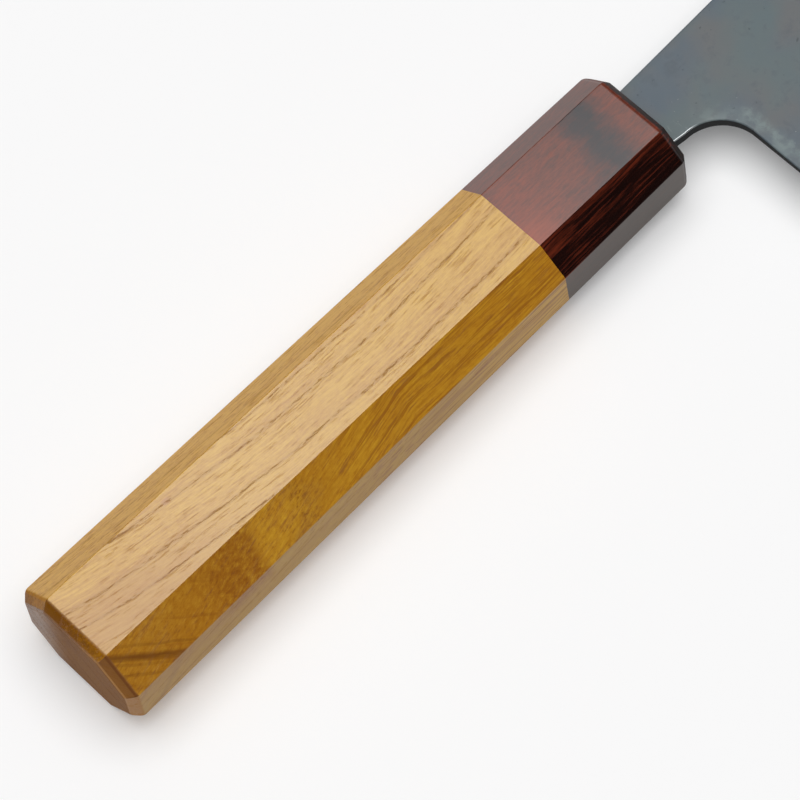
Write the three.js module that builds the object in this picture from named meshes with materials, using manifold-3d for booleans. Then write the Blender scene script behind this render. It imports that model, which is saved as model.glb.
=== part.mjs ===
// A santoku kitchen knife lying on its left side: a laminated blade whose hidden tang is bedded
// in an octagonal handle of two woods. Millimetres. +X runs from the butt to the tip, +Y from the
// edge to the spine, and +Z up from the surface that the handle's lower flat lies on.
import * as THREE from 'three';
import { mergeVertices } from 'three/addons/utils/BufferGeometryUtils.js';
import Module from 'manifold-3d';

const wasm = await Module();
wasm.setup();

// Handle sizes: heights run along Y, in the plane of the blade, and thicknesses along Z.
const handleLength = 128;
const ferruleLength = 29.4;
const buttHeight = 26.5;
const buttThickness = 20.8;
const buttChamfer = 6.35;
const frontHeight = 23.1;
const frontThickness = 18;
const frontChamfer = 4.9;
const buttBevel = 1.6;
const buttLean = 1.1;
const frontBevel = 1.3;

// Blade sizes: the pitch is the angle that spine and edge rise at from the line of the handle.
const bladeLength = 165;
const bladeHeight = 46;
const bladePitch = THREE.MathUtils.degToRad(1.3);
const spineAtFerrule = 6.4;
const spineCurveLength = 50;
const edgeCurveLength = 80;
const tipRise = 12;
const noseHeight = 0.8;
const neckHeight = 12.9;
const neckLength = 3.5;
const neckFlare = 0.5;
const choilRadius = 8;

// Blade thicknesses: spine and bevel line are measured over the heel, and the edge is even.
const spineThickness = 3;
const bevelHeight = 12.5;
const bevelThickness = 1.5;
const edgeThickness = 0.3;
const tipThickness = 0.9;
const coreThickness = 0.7;

// Tang, its bedding and the dowel that joins the two woods.
const neckDepth = 7;
const tangLength = 78;
const tangHeight = 7.5;
const tangThickness = 2.4;
const tangEndHeight = 5;
const tangEndThickness = 1.8;
const tangRoot = 2;
const beddingWall = 0.8;
const dowelWall = 1.2;
const dowelInBody = 17;
const ferruleWeb = 5;
const mouthGap = 0.3;
const fitGap = 0.2;

// Fineness of the long and the curved stretches.
const straightSteps = 10;
const tipSteps = 24;
const choilSteps = 16;
const dowelSides = 24;

// Places along X, from the ferrule's front face, and heights along Y, from the line of the tang.
const jointX = -ferruleLength;
const shoulderX = -neckDepth;
const tangEndX = shoulderX - tangLength;
const choilX = neckLength;
const heelX = neckLength + choilRadius;
const tipX = heelX + bladeLength;
const neckBottom = spineAtFerrule - neckHeight;
const choilTop = neckBottom - neckFlare;
const underside = -frontThickness / 2;
const reach = handleLength + tipX;

// A closed mesh as a solid that can be joined and cut.
function solid(geometry) {
  const bare = geometry.clone();
  bare.deleteAttribute('normal');
  bare.deleteAttribute('uv');
  const merged = mergeVertices(bare);
  const mesh = new wasm.Mesh({
    numProp: 3,
    vertProperties: Float32Array.from(merged.attributes.position.array),
    triVerts: Uint32Array.from(merged.index.array),
  });
  return new wasm.Manifold(mesh);
}

function geometryOf(shape) {
  const mesh = shape.getMesh();
  const geometry = new THREE.BufferGeometry();
  geometry.setAttribute('position', new THREE.BufferAttribute(mesh.vertProperties, 3));
  geometry.setIndex(new THREE.BufferAttribute(mesh.triVerts, 1));
  geometry.computeVertexNormals();
  return geometry;
}

// A solid through convex rings of [x, y, z] points, each ring one step further along +X and
// running from +Y over +Z to -Y.
function loft(rings) {
  const count = rings[0].length;
  const last = (rings.length - 1) * count;
  const index = [];
  for (let ring = 0; ring < rings.length - 1; ring += 1) {
    for (let corner = 0; corner < count; corner += 1) {
      const next = (corner + 1) % count;
      const near = ring * count;
      const far = near + count;
      index.push(near + corner, near + next, far + next);
      index.push(near + corner, far + next, far + corner);
    }
  }
  for (let corner = 1; corner < count - 1; corner += 1) {
    index.push(0, corner + 1, corner);
    index.push(last, last + corner, last + corner + 1);
  }
  const geometry = new THREE.BufferGeometry();
  geometry.setAttribute('position', new THREE.Float32BufferAttribute(rings.flat(2), 3));
  geometry.setIndex(index);
  return solid(geometry);
}

function box(low, high) {
  const size = high.clone().sub(low);
  const middle = low.clone().add(high).multiplyScalar(0.5);
  const geometry = new THREE.BoxGeometry(size.x, size.y, size.z);
  geometry.translate(middle.x, middle.y, middle.z);
  return solid(geometry);
}

function rod(startX, endX, radius) {
  const geometry = new THREE.CylinderGeometry(radius, radius, endX - startX, dowelSides);
  geometry.rotateZ(Math.PI / 2);
  geometry.translate((startX + endX) / 2, 0, 0);
  return solid(geometry);
}

// Handle: an octagon that tapers evenly from butt to front and keeps its lower flat level.
function octagonSize(x) {
  const t = -x / handleLength;
  return {
    height: THREE.MathUtils.lerp(frontHeight, buttHeight, t),
    thickness: THREE.MathUtils.lerp(frontThickness, buttThickness, t),
    chamfer: THREE.MathUtils.lerp(frontChamfer, buttChamfer, t),
  };
}

// One ring of the octagon, with all eight faces moved in by the same inset. The chamfers lie at
// 45 degrees all along, so that every facet is flat.
function octagonRing(x, inset) {
  const size = octagonSize(x);
  const chamfer = size.chamfer - inset * (2 - Math.SQRT2);
  const side = size.height / 2 - inset;
  const flat = side - chamfer;
  const low = underside + inset;
  const high = underside + size.thickness - inset;
  return [
    [x, side, low + chamfer],
    [x, side, high - chamfer],
    [x, flat, high],
    [x, -flat, high],
    [x, -side, high - chamfer],
    [x, -side, low + chamfer],
    [x, -flat, low],
    [x, flat, low],
  ];
}

// A ring at the butt, which is cut at a lean: its underside reaches further back than its upper flat.
function buttRing(x, inset) {
  return octagonRing(x, inset).map((point, corner) => {
    const lean = buttLean * (underside + buttThickness - point[2]) / buttThickness;
    return octagonRing(x - lean, inset)[corner];
  });
}

// A ring round the tang at x, grown on all four sides.
function tangRing(x, growth) {
  const t = (shoulderX - x) / tangLength;
  const side = THREE.MathUtils.lerp(tangHeight, tangEndHeight, t) / 2 + growth;
  const face = THREE.MathUtils.lerp(tangThickness, tangEndThickness, t) / 2 + growth;
  return [
    [x, side, -face],
    [x, side, face],
    [x, -side, face],
    [x, -side, -face],
  ];
}

function tangBlock(startX, endX, growth) {
  return loft([tangRing(startX, growth), tangRing(endX, growth)]);
}

// The channel for the tang with its bedding, and the socket for the dowel.
const beddingInside = fitGap;
const beddingOutside = beddingInside + beddingWall;
const channelGrowth = beddingOutside + fitGap;
const beddingFrontX = shoulderX - fitGap;
const beddingEndX = tangEndX - beddingOutside;
const dowelFrontX = shoulderX - mouthGap - ferruleWeb;
const dowelEndX = jointX - dowelInBody;
const channelCorner = new THREE.Vector2(tangHeight / 2 + channelGrowth, tangThickness / 2 + channelGrowth);
const dowelRadius = channelCorner.length() + dowelWall;

function channel() {
  return tangBlock(beddingEndX - fitGap, 0, channelGrowth);
}

function dowelSocket() {
  return rod(dowelEndX - fitGap, dowelFrontX + fitGap, dowelRadius + fitGap);
}

function makeBody() {
  const rings = [
    buttRing(-handleLength, buttBevel),
    buttRing(-handleLength + buttBevel, 0),
    octagonRing(jointX, 0),
  ];
  return loft(rings).subtract(dowelSocket()).subtract(channel());
}

// The neck fills most of the ferrule's mouth; the tang's narrower channel goes on behind it.
function makeFerrule() {
  const rings = [
    octagonRing(jointX, 0),
    octagonRing(-frontBevel, 0),
    octagonRing(0, frontBevel),
  ];
  const mouthFace = flatThickness(shoulderX, spineLine(shoulderX)) / 2 + mouthGap;
  const mouth = box(
    new THREE.Vector3(shoulderX - mouthGap, neckBottom - mouthGap, -mouthFace),
    new THREE.Vector3(frontBevel, spineAtFerrule + mouthGap, mouthFace),
  );
  const behindMouth = tangBlock(beddingEndX - fitGap, shoulderX, channelGrowth);
  return loft(rings).subtract(mouth).subtract(dowelSocket()).subtract(behindMouth);
}

function makeDowel() {
  return rod(dowelEndX, dowelFrontX, dowelRadius).subtract(channel());
}

function makeBedding() {
  const sleeve = tangBlock(beddingEndX, beddingFrontX, beddingOutside);
  return sleeve.subtract(tangBlock(tangEndX - fitGap, 0, beddingInside));
}

// Blade: spine and edge are straight over the heel and curve together into the tip.
function spineLine(x) {
  return spineAtFerrule + x * Math.tan(bladePitch);
}

function curveShare(x, curveLength) {
  return Math.max(0, (x - (tipX - curveLength)) / curveLength) ** 2;
}

function spineY(x) {
  const drop = bladeHeight - tipRise - noseHeight;
  return spineLine(x) - drop * curveShare(x, spineCurveLength);
}

function edgeY(x) {
  return spineLine(x) - bladeHeight + tipRise * curveShare(x, edgeCurveLength);
}

// Each flat is a plane that thins evenly from spine to bevel and from heel to tip.
function flatThickness(x, y) {
  const heightTaper = (spineThickness - bevelThickness) / (bladeHeight - bevelHeight);
  const tipDrop = bladeHeight - tipRise;
  const lengthTaper = (spineThickness - heightTaper * tipDrop - tipThickness) / bladeLength;
  return spineThickness - heightTaper * (spineLine(x) - y) - lengthTaper * (x - heelX);
}

function bladeRing(x) {
  const top = spineY(x);
  const bottom = edgeY(x);
  const bevelY = bottom + bevelHeight * (top - bottom) / bladeHeight;
  const topFace = flatThickness(x, top) / 2;
  const bevelFace = flatThickness(x, bevelY) / 2;
  const edgeFace = edgeThickness / 2;
  return [
    [x, top, -topFace],
    [x, top, topFace],
    [x, bevelY, bevelFace],
    [x, bottom, edgeFace],
    [x, bottom, -edgeFace],
    [x, bevelY, -bevelFace],
  ];
}

// What is cut away under the neck, in front of the ferrule and behind the heel.
function choilCut() {
  const outline = new THREE.Shape();
  outline.moveTo(-reach, -reach);
  outline.lineTo(-reach, neckBottom);
  outline.lineTo(0, neckBottom);
  outline.lineTo(choilX, choilTop);
  outline.absarc(choilX, choilTop - choilRadius, choilRadius, Math.PI / 2, 0, true);
  outline.lineTo(heelX, -reach);
  outline.closePath();
  const geometry = new THREE.ExtrudeGeometry(outline, {
    depth: reach,
    bevelEnabled: false,
    curveSegments: choilSteps,
  });
  geometry.translate(0, 0, -reach / 2);
  return solid(geometry);
}

function makeBlade() {
  const curveX = tipX - Math.max(spineCurveLength, edgeCurveLength);
  const rings = [];
  for (let step = 0; step < straightSteps; step += 1) {
    rings.push(bladeRing(THREE.MathUtils.lerp(shoulderX, curveX, step / straightSteps)));
  }
  for (let step = 0; step <= tipSteps; step += 1) {
    rings.push(bladeRing(THREE.MathUtils.lerp(curveX, tipX, step / tipSteps)));
  }
  const tang = tangBlock(tangEndX, shoulderX + tangRoot, 0);
  return loft(rings).subtract(choilCut()).add(tang);
}

// The blade's three layers share the planes that part them.
const blade = makeBlade();
const coreSlab = box(
  new THREE.Vector3(-reach, -reach, -coreThickness / 2),
  new THREE.Vector3(reach, reach, coreThickness / 2),
);
const rightSide = box(new THREE.Vector3(-reach, -reach, 0), new THREE.Vector3(reach, reach, reach));
const cladding = blade.subtract(coreSlab);

function piece(name, shape, color, roughness, metalness) {
  const material = new THREE.MeshStandardMaterial({ color, roughness, metalness });
  const mesh = new THREE.Mesh(geometryOf(shape), material);
  mesh.name = name;
  return mesh;
}

const forgeFinish = 0x687076;
const bladeGroup = new THREE.Group();
bladeGroup.add(
  piece('core_steel', blade.intersect(coreSlab), 0xb9bcc0, 0.3, 1),
  piece('right_cladding', cladding.intersect(rightSide), forgeFinish, 0.5, 0.6),
  piece('left_cladding', cladding.subtract(rightSide), forgeFinish, 0.5, 0.6),
);

const handleGroup = new THREE.Group();
handleGroup.add(
  piece('handle_body', makeBody(), 0xc99a58, 0.45, 0),
  piece('ferrule', makeFerrule(), 0x5a211b, 0.25, 0),
  piece('ferrule_dowel', makeDowel(), 0xd8bd90, 0.7, 0),
  piece('tang_bedding', makeBedding(), 0x3c332b, 0.6, 0),
);

// The origin is under the middle of the knife, on the surface it lies on.
const knife = new THREE.Group();
knife.add(bladeGroup, handleGroup);
const bounds = new THREE.Box3().setFromObject(knife);
const middle = bounds.getCenter(new THREE.Vector3());
knife.position.set(-middle.x, -middle.y, -bounds.min.z);

export default knife;
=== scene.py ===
"""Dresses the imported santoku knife: woods, forged blade layers, studio floor, light and camera."""

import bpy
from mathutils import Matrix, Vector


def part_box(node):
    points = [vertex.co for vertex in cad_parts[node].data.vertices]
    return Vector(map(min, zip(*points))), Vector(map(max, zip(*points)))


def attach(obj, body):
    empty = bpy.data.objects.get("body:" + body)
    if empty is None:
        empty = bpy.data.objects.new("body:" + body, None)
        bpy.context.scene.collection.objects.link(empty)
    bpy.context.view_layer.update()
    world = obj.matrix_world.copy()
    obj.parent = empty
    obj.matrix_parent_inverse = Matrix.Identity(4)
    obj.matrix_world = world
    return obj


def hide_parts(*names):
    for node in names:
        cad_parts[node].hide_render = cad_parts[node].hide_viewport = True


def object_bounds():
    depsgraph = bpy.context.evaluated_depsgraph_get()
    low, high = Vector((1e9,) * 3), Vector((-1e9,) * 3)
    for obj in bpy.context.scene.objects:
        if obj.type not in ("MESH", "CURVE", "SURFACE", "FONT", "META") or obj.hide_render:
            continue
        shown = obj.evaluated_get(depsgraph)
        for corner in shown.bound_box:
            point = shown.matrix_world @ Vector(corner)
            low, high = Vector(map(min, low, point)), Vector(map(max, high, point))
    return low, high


bl_info = {
    "name": "Santoku Knife",
    "version": (1, 0, 0),
    "blender": (4, 5, 0),
    "location": "3D View > Sidebar > Knife",
    "description": "Builds the dressed pieces of a santoku knife round its packed solids",
    "category": "Object",
}

import math

import bmesh
import bpy
import numpy as np
from mathutils import Matrix, Vector
from mathutils.geometry import delaunay_2d_cdt

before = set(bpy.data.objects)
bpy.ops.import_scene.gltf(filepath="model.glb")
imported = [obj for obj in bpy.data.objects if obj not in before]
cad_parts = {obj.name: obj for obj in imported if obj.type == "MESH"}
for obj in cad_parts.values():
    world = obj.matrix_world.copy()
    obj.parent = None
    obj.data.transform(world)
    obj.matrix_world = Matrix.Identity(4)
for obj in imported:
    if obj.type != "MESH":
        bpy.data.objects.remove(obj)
cad_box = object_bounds()

MM = 0.001
BODY = "root"
WHITE = (1.0, 1.0, 1.0, 1.0)

# How finely round forms and the blade's lines are divided, and how near two places count as one.
EASING_STEPS = 4
SOCKET_SIDES = 24
CHOIL_STEPS = 28
LINE_POINTS = 150
SHOULDER_POINTS = 6
TOUCH = 0.01 * MM

# Angles in degrees past which an edge stays sharp in smooth shading.
PLAIN_CREASE = 30
FORGED_CREASE = 40

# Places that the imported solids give. The knife's own zero is on the tang's line at the
# ferrule's front.
body_low, body_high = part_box("handle_body")
ferrule_low, ferrule_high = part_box("ferrule")
core_low, core_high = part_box("core_steel")
zero = Vector((ferrule_high.x, (body_low.y + body_high.y) / 2, (core_low.z + core_high.z) / 2))


# Kinds of setting
def length(label, words, millimetres):
    return bpy.props.FloatProperty(
        name=label, description=words, default=millimetres * MM, precision=5, unit="LENGTH"
    )


def place(label, words, millimetres):
    metres = [value * MM for value in millimetres]
    return bpy.props.FloatVectorProperty(
        name=label, description=words, default=metres, precision=5, size=3, subtype="TRANSLATION"
    )


def angle(label, words, degrees):
    return bpy.props.FloatProperty(
        name=label, description=words, default=math.radians(degrees), subtype="ANGLE"
    )


def share(label, words, value):
    return bpy.props.FloatProperty(
        name=label, description=words, default=value, min=0, max=1, subtype="FACTOR"
    )


def amount(label, words, value):
    return bpy.props.FloatProperty(name=label, description=words, default=value, min=0)


def colour(label, words, rgb):
    return bpy.props.FloatVectorProperty(
        name=label, description=words, default=rgb, min=0, max=1, size=3, subtype="COLOR"
    )


class HandleSettings(bpy.types.PropertyGroup):
    """Sizes of the octagonal handle, which tapers evenly from the butt to the ferrule's front."""

    handle_length: length("Length", "From the ferrule's front to the butt's upper rim", 128)
    butt_height: length("Butt height", "Height of the butt's octagon in the blade's plane", 26.5)
    butt_thickness: length("Butt thickness", "Thickness of the octagon at the butt", 20.8)
    butt_chamfer: length("Butt chamfer", "Leg of the octagon's chamfers at the butt", 6.35)
    front_height: length("Front height", "Height of the octagon at the front", 23.1)
    front_thickness: length("Front thickness", "Thickness of the octagon at the front", 18)
    front_chamfer: length("Front chamfer", "Leg of the octagon's chamfers at the front", 4.9)
    butt_bevel: length("Butt bevel", "Leg of the bevel round the butt", 1.6)
    butt_lean: length("Butt lean", "How much further back the butt reaches at its underside", 1.1)
    front_bevel: length("Front bevel", "Leg of the bevel round the ferrule's front", 1.3)
    edge_width: length("Edge width", "Widest easing that an edge of the handle gets", 0.5)
    long_edge: share("Long edges", "Share of the edge width on the octagon's long edges", 0.22)
    butt_edge: share("Butt edges", "Share of the edge width on the butt bevel's edges", 1.0)
    front_edge: share("Front edges", "Share of the edge width on the front bevel's edges", 1.0)


class BoreSettings(bpy.types.PropertyGroup):
    """Hollows that the tang, its bedding, the dowel and the neck sit in."""

    socket_start: length("Socket start", "Back end of the dowel's socket, from zero", -46.6)
    socket_end: length("Socket end", "Front end of the dowel's socket", -12.1)
    socket_radius: length("Socket radius", "Radius of the dowel's socket", 6.951)
    channel_start: length("Channel start", "Back end of the tang's channel", -86.2)
    channel_end: length("Channel end", "Front end of the tang's channel", -7)
    channel_start_height: length("Channel back height", "Height of the channel at its back", 7.363)
    channel_start_thickness: length("Channel back thickness", "Thickness of its back", 4.191)
    channel_end_height: length("Channel front height", "Height of the channel at its front", 9.9)
    channel_end_thickness: length("Channel front thickness", "Thickness of its front", 4.8)
    mouth_start: length("Mouth start", "Back end of the ferrule's mouth", -7.3)
    mouth_end: length("Mouth end", "Front end of the cut for the mouth", 1.3)
    mouth_low: length("Mouth low side", "Lower side of the mouth, from the line of the tang", -6.8)
    mouth_high: length("Mouth high side", "Upper side of the mouth", 6.7)
    mouth_thickness: length("Mouth thickness", "Thickness of the mouth", 3.665)


class BladeSettings(bpy.types.PropertyGroup):
    """Sizes of the blade, its neck and the tang, from the knife's own zero."""

    blade_length: length("Blade length", "From the heel to the tip", 165)
    blade_height: length("Blade height", "From the edge to the spine over the heel", 46)
    pitch: angle("Pitch", "Rise of spine and edge from the line of the handle", 1.3)
    spine_at_ferrule: length("Spine at ferrule", "Height of the spine at the ferrule's front", 6.4)
    spine_curve: length("Spine curve", "Length over which the spine drops to the tip", 50)
    edge_curve: length("Edge curve", "Length over which the edge rises to the tip", 80)
    tip_rise: length("Tip rise", "Rise of the edge at the tip", 12)
    nose_height: length("Nose height", "Height of the blade's end at the tip", 0.8)
    neck_height: length("Neck height", "Height of the neck at the ferrule", 12.9)
    neck_length: length("Neck length", "From the ferrule to the choil's arc", 3.5)
    neck_flare: length("Neck flare", "Drop of the neck's lower side before the choil", 0.5)
    choil_radius: length("Choil radius", "Radius of the notch behind the heel", 8)
    spine_thickness: length("Spine thickness", "Thickness of the spine over the heel", 3)
    bevel_height: length("Bevel height", "Height of the ground bevel over the heel", 12.5)
    bevel_thickness: length("Bevel thickness", "Thickness where the ground bevel starts", 1.5)
    edge_thickness: length("Edge thickness", "Thickness behind the cutting edge", 0.3)
    tip_thickness: length("Tip thickness", "Thickness of the blade at the tip", 0.9)
    core_thickness: length("Core thickness", "Thickness of the hard middle layer", 0.7)
    neck_depth: length("Neck depth", "How far the neck goes into the ferrule", 7)
    tang_length: length("Tang length", "From the shoulder to the tang's end", 78)
    tang_height: length("Tang height", "Height of the tang at the shoulder", 7.5)
    tang_thickness: length("Tang thickness", "Thickness of the tang at the shoulder", 2.4)
    tang_end_height: length("Tang end height", "Height of the tang at its end", 5)
    tang_end_thickness: length("Tang end thickness", "Thickness of the tang at its end", 1.8)
    spine_ease: length("Spine easing", "Radius along the spine's edges", 0.25)
    choil_ease: length("Choil easing", "Radius along the edges of neck, choil and heel", 0.35)
    micro_bevel: length("Sharpened edge", "Height of the sharpened strip along the edge", 0.7)
    keen_thickness: length("Keen thickness", "Thickness of the cutting edge itself", 0.03)
    skin_step: length("Skin step", "Spacing of the points on the blade's faces", 1.1)
    dent_depth: length("Dent depth", "Depth of the shallow forging dents", 0.02)
    dent_size: length("Dent size", "Width of the forging dents", 5)
    dent_seed: amount("Dent seed", "Picks one of many patterns of dents", 4.0)


class WoodSettings(bpy.types.PropertyGroup):
    """Growth lines and colours of the honey-coloured body, the dark ferrule and the dowel."""

    ring_gap: length("Ring gap", "Distance between the body's growth lines", 3.93)
    pale: colour("Pale honey", "Body wood between the growth lines", (0.62, 0.345, 0.022))
    amber: colour("Amber", "Body wood in the later part of each ring", (0.41, 0.165, 0.004))
    rosy: colour("Rosy honey", "Body wood towards the butt", (0.47, 0.23, 0.022))
    deep: colour("Deep amber", "Body wood in its darkest patches", (0.27, 0.088, 0.002))
    gold: colour("Gold", "Body wood towards the spine", (0.62, 0.3, 0.016))
    olive: colour("Olive honey", "Body wood on the side towards the edge", (0.37, 0.205, 0.012))
    knot: colour("Knot", "Small rosy knot in the body's upper flat", (0.42, 0.15, 0.07))
    pore: colour("Pore brown", "Open pores along the growth lines", (0.17, 0.062, 0.005))
    end: colour("End grain", "Body wood where it is cut across", (0.15, 0.045, 0.001))
    ferrule_dark: colour("Ferrule dark", "Near-black ground of its wood", (0.008, 0.002, 0.0015))
    ferrule_red: colour("Ferrule red", "Red-brown streaks of its wood", (0.21, 0.032, 0.012))
    ferrule_dull: colour("Ferrule dull", "Dull mottling on its upper sides", (0.088, 0.026, 0.016))
    ferrule_warm: colour("Ferrule warm", "Warm mottling on its upper sides", (0.215, 0.042, 0.018))
    ferrule_side: colour("Ferrule side", "Brown of its side towards the edge", (0.05, 0.027, 0.013))
    ferrule_glow: colour("Ferrule glow", "Brightest streaks of its wood", (0.36, 0.06, 0.02))
    # Painted reflection: this bluish dark colour stands for a reflection on the ferrule's upper
    # flat, not for its wood.
    ferrule_reflection: colour("Ferrule smoke", "Bluish dark reflection painted on its upper flat", (0.008, 0.015, 0.02))
    dowel: colour("Dowel", "Plain pale wood of the dowel", (0.69, 0.51, 0.28))


class MetalSettings(bpy.types.PropertyGroup):
    """Colours of the blade's layers and of the resin round the tang."""

    scale_blue: colour("Blue scale", "Bluish forge scale", (0.072, 0.1, 0.126))
    scale_brown: colour("Brown scale", "Brownish forge scale", (0.1, 0.108, 0.113))
    scale_green: colour("Green scale", "Greenish forge scale", (0.08, 0.12, 0.126))
    scale_pale: colour("Pale scale", "Forge scale that is rubbed thin", (0.16, 0.205, 0.205))
    bare: colour("Bare iron", "Iron where the scale is rubbed off", (0.42, 0.44, 0.45))
    ground: colour("Ground iron", "Iron of the ground bevel", (0.38, 0.39, 0.4))
    core: colour("Core steel", "Hard steel along the edge", (0.46, 0.47, 0.48))
    pit: colour("Pit", "Small pits in the forge scale", (0.02, 0.021, 0.022))
    wall: colour("Wall", "Dull scale on the blade's narrow walls", (0.012, 0.013, 0.014))
    keen: colour("Keen steel", "Sharpened strip along the edge", (0.66, 0.67, 0.68))
    resin: colour("Resin", "Set resin round the tang", (0.045, 0.033, 0.025))


class StageSettings(bpy.types.PropertyGroup):
    """Floor, light and camera."""

    floor: colour("Floor", "Pale studio floor", (0.955, 0.955, 0.958))
    floor_glow: share("Floor glow", "Share of plain white in the floor that the camera sees", 0.17)
    floor_size: length("Floor size", "Side of the square floor", 24000)
    floor_gap: length("Floor gap", "Room between the floor and the knife", 0.1)
    key_strength: amount("Key strength", "Strength of the broad overhead light", 2.28)
    key_angle: angle("Key width", "How wide the overhead light looks from the knife", 60)
    key_turn: angle("Key turn", "Turn of the overhead light round the knife, from +X", 320)
    key_height: angle("Key height", "Height of the overhead light above the floor", 86.5)
    backdrop: share("Backdrop", "Level of the pale backdrop behind the floor", 0.94)
    air_high: amount("High air", "Level of the surroundings overhead", 0.45)
    air_low: amount("Low air", "Level of the surroundings near the horizon", 0.02)
    lens: amount("Lens", "Focal length of the camera in millimetres", 202.5)
    sensor: amount("Sensor", "Width of the camera's sensor in millimetres", 36.0)
    clip_start: length("Nearest", "Nearest distance that the camera shows", 10)
    camera_turn: angle("Camera turn", "Way that the camera looks, from +Y towards +X", 30.58)
    camera_height: angle("Camera height", "How steeply the camera looks down", 65.6)
    camera_roll: angle("Camera roll", "Turn of the picture round the line of sight", 15.51)
    camera_place: place("Camera place", "From the knife's own zero", (-214.59, -264.305, 662.55))


# Node trees
def arithmetic(operation, reflected=False):
    """An operator of Wire: one Math node, with the other value first where it is reflected."""

    def operator(self, other):
        values = (other, self) if reflected else (self, other)
        return self.graph.maths(operation, *values)

    return operator


class Wire:
    """One output of a node. Arithmetic on it adds Math nodes to the same tree."""

    def __init__(self, graph, socket):
        self.graph = graph
        self.socket = socket

    def out(self, name):
        """Another output of the same node."""
        return Wire(self.graph, self.socket.node.outputs[name])

    def __abs__(self):
        return self.graph.maths("ABSOLUTE", self)

    __add__ = arithmetic("ADD")
    __radd__ = arithmetic("ADD", True)
    __sub__ = arithmetic("SUBTRACT")
    __rsub__ = arithmetic("SUBTRACT", True)
    __mul__ = arithmetic("MULTIPLY")
    __rmul__ = arithmetic("MULTIPLY", True)
    __truediv__ = arithmetic("DIVIDE")
    __rtruediv__ = arithmetic("DIVIDE", True)
    __lt__ = arithmetic("LESS_THAN")
    __gt__ = arithmetic("GREATER_THAN")


class Graph:
    """A node tree, the one method that adds its nodes, and short forms of it."""

    def __init__(self, tree):
        self.tree = tree

    def node(self, kind, settings=None, sockets=None, output=0):
        made = self.tree.nodes.new(kind)
        for name, value in (settings or {}).items():
            setattr(made, name, value)
        for key, value in (sockets or {}).items():
            self.join(value, made.inputs[key])
        return Wire(self, made.outputs[output]) if len(made.outputs) else made

    def join(self, value, socket):
        """Links a wire or a list of wires to a socket, or sets the socket's own value."""
        if isinstance(value, Wire):
            self.tree.links.new(value.socket, socket)
        elif isinstance(value, list) and isinstance(value[0], Wire):
            for wire in value:
                self.join(wire, socket)
        elif socket.type == "RGBA":
            socket.default_value = (*value[:3], 1.0)
        else:
            socket.default_value = value

    def maths(self, operation, *values):
        return self.node("ShaderNodeMath", {"operation": operation}, dict(enumerate(values)))

    def split(self, vector):
        parts = self.node("ShaderNodeSeparateXYZ", None, {0: vector})
        return parts.out("X"), parts.out("Y"), parts.out("Z")

    def combine(self, x, y, z):
        return self.node("ShaderNodeCombineXYZ", None, {0: x, 1: y, 2: z})

    def step(self, value, low, high):
        """0 on the far side of low, 1 on the far side of high and a smooth change between."""
        return self.node(
            "ShaderNodeMapRange",
            {"interpolation_type": "SMOOTHSTEP"},
            {"Value": value, "From Min": low, "From Max": high},
        )

    def mix(self, factor, first, second):
        """A blend of two colours."""
        sockets = {0: factor, 6: first, 7: second}
        return self.node("ShaderNodeMix", {"data_type": "RGBA"}, sockets, 2)

    def stretch(self, vector, x, y, z):
        sockets = {0: vector, 1: (x, y, z)}
        return self.node("ShaderNodeVectorMath", {"operation": "MULTIPLY"}, sockets)

    def noise(self, vector, scale=1.0, detail=2.0, roughness=0.5, distortion=0.0):
        sockets = {"Vector": vector, "Scale": scale, "Detail": detail}
        sockets["Roughness"] = roughness
        sockets["Distortion"] = distortion
        return self.node("ShaderNodeTexNoise", None, sockets)

    def grain(self, vector, along, across, *settings):
        """Noise with its own scale along X and across it."""
        return self.noise(self.stretch(vector, along, across, across), 1.0, *settings)

    def seen(self):
        """1 for the rays that show a thing to the camera, straight, in gloss or through glass."""
        ray = self.node("ShaderNodeLightPath", None, None, "Is Camera Ray")
        return ray + ray.out("Is Glossy Ray") + ray.out("Is Transmission Ray")

    def declare(self, names, kind="NodeSocketFloat", way="INPUT"):
        for name in names:
            self.tree.interface.new_socket(name=name, in_out=way, socket_type=kind)

    def given(self):
        """The tree's inputs by name."""
        outputs = self.node("NodeGroupInput").socket.node.outputs
        return {socket.name: Wire(self, socket) for socket in outputs if socket.name}

    def close(self, geometry, material):
        """Ends a geometry tree in plain meshes that wear one material."""
        self.declare(["Geometry"], "NodeSocketGeometry", "OUTPUT")
        real = self.node("GeometryNodeRealizeInstances", None, {"Geometry": geometry})
        worn = self.node("GeometryNodeSetMaterial", None, {"Geometry": real, "Material": material})
        self.node("NodeGroupOutput", None, {"Geometry": worn})
        return self.tree


def part_way(start, end, way):
    """The value a share of the way from start to end, for numbers and for wires."""
    return start + (end - start) * way


def shaded(rgb, level):
    return [channel * level for channel in rgb]


def geometry_graph(name):
    return Graph(bpy.data.node_groups.new(name, "GeometryNodeTree"))


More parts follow.
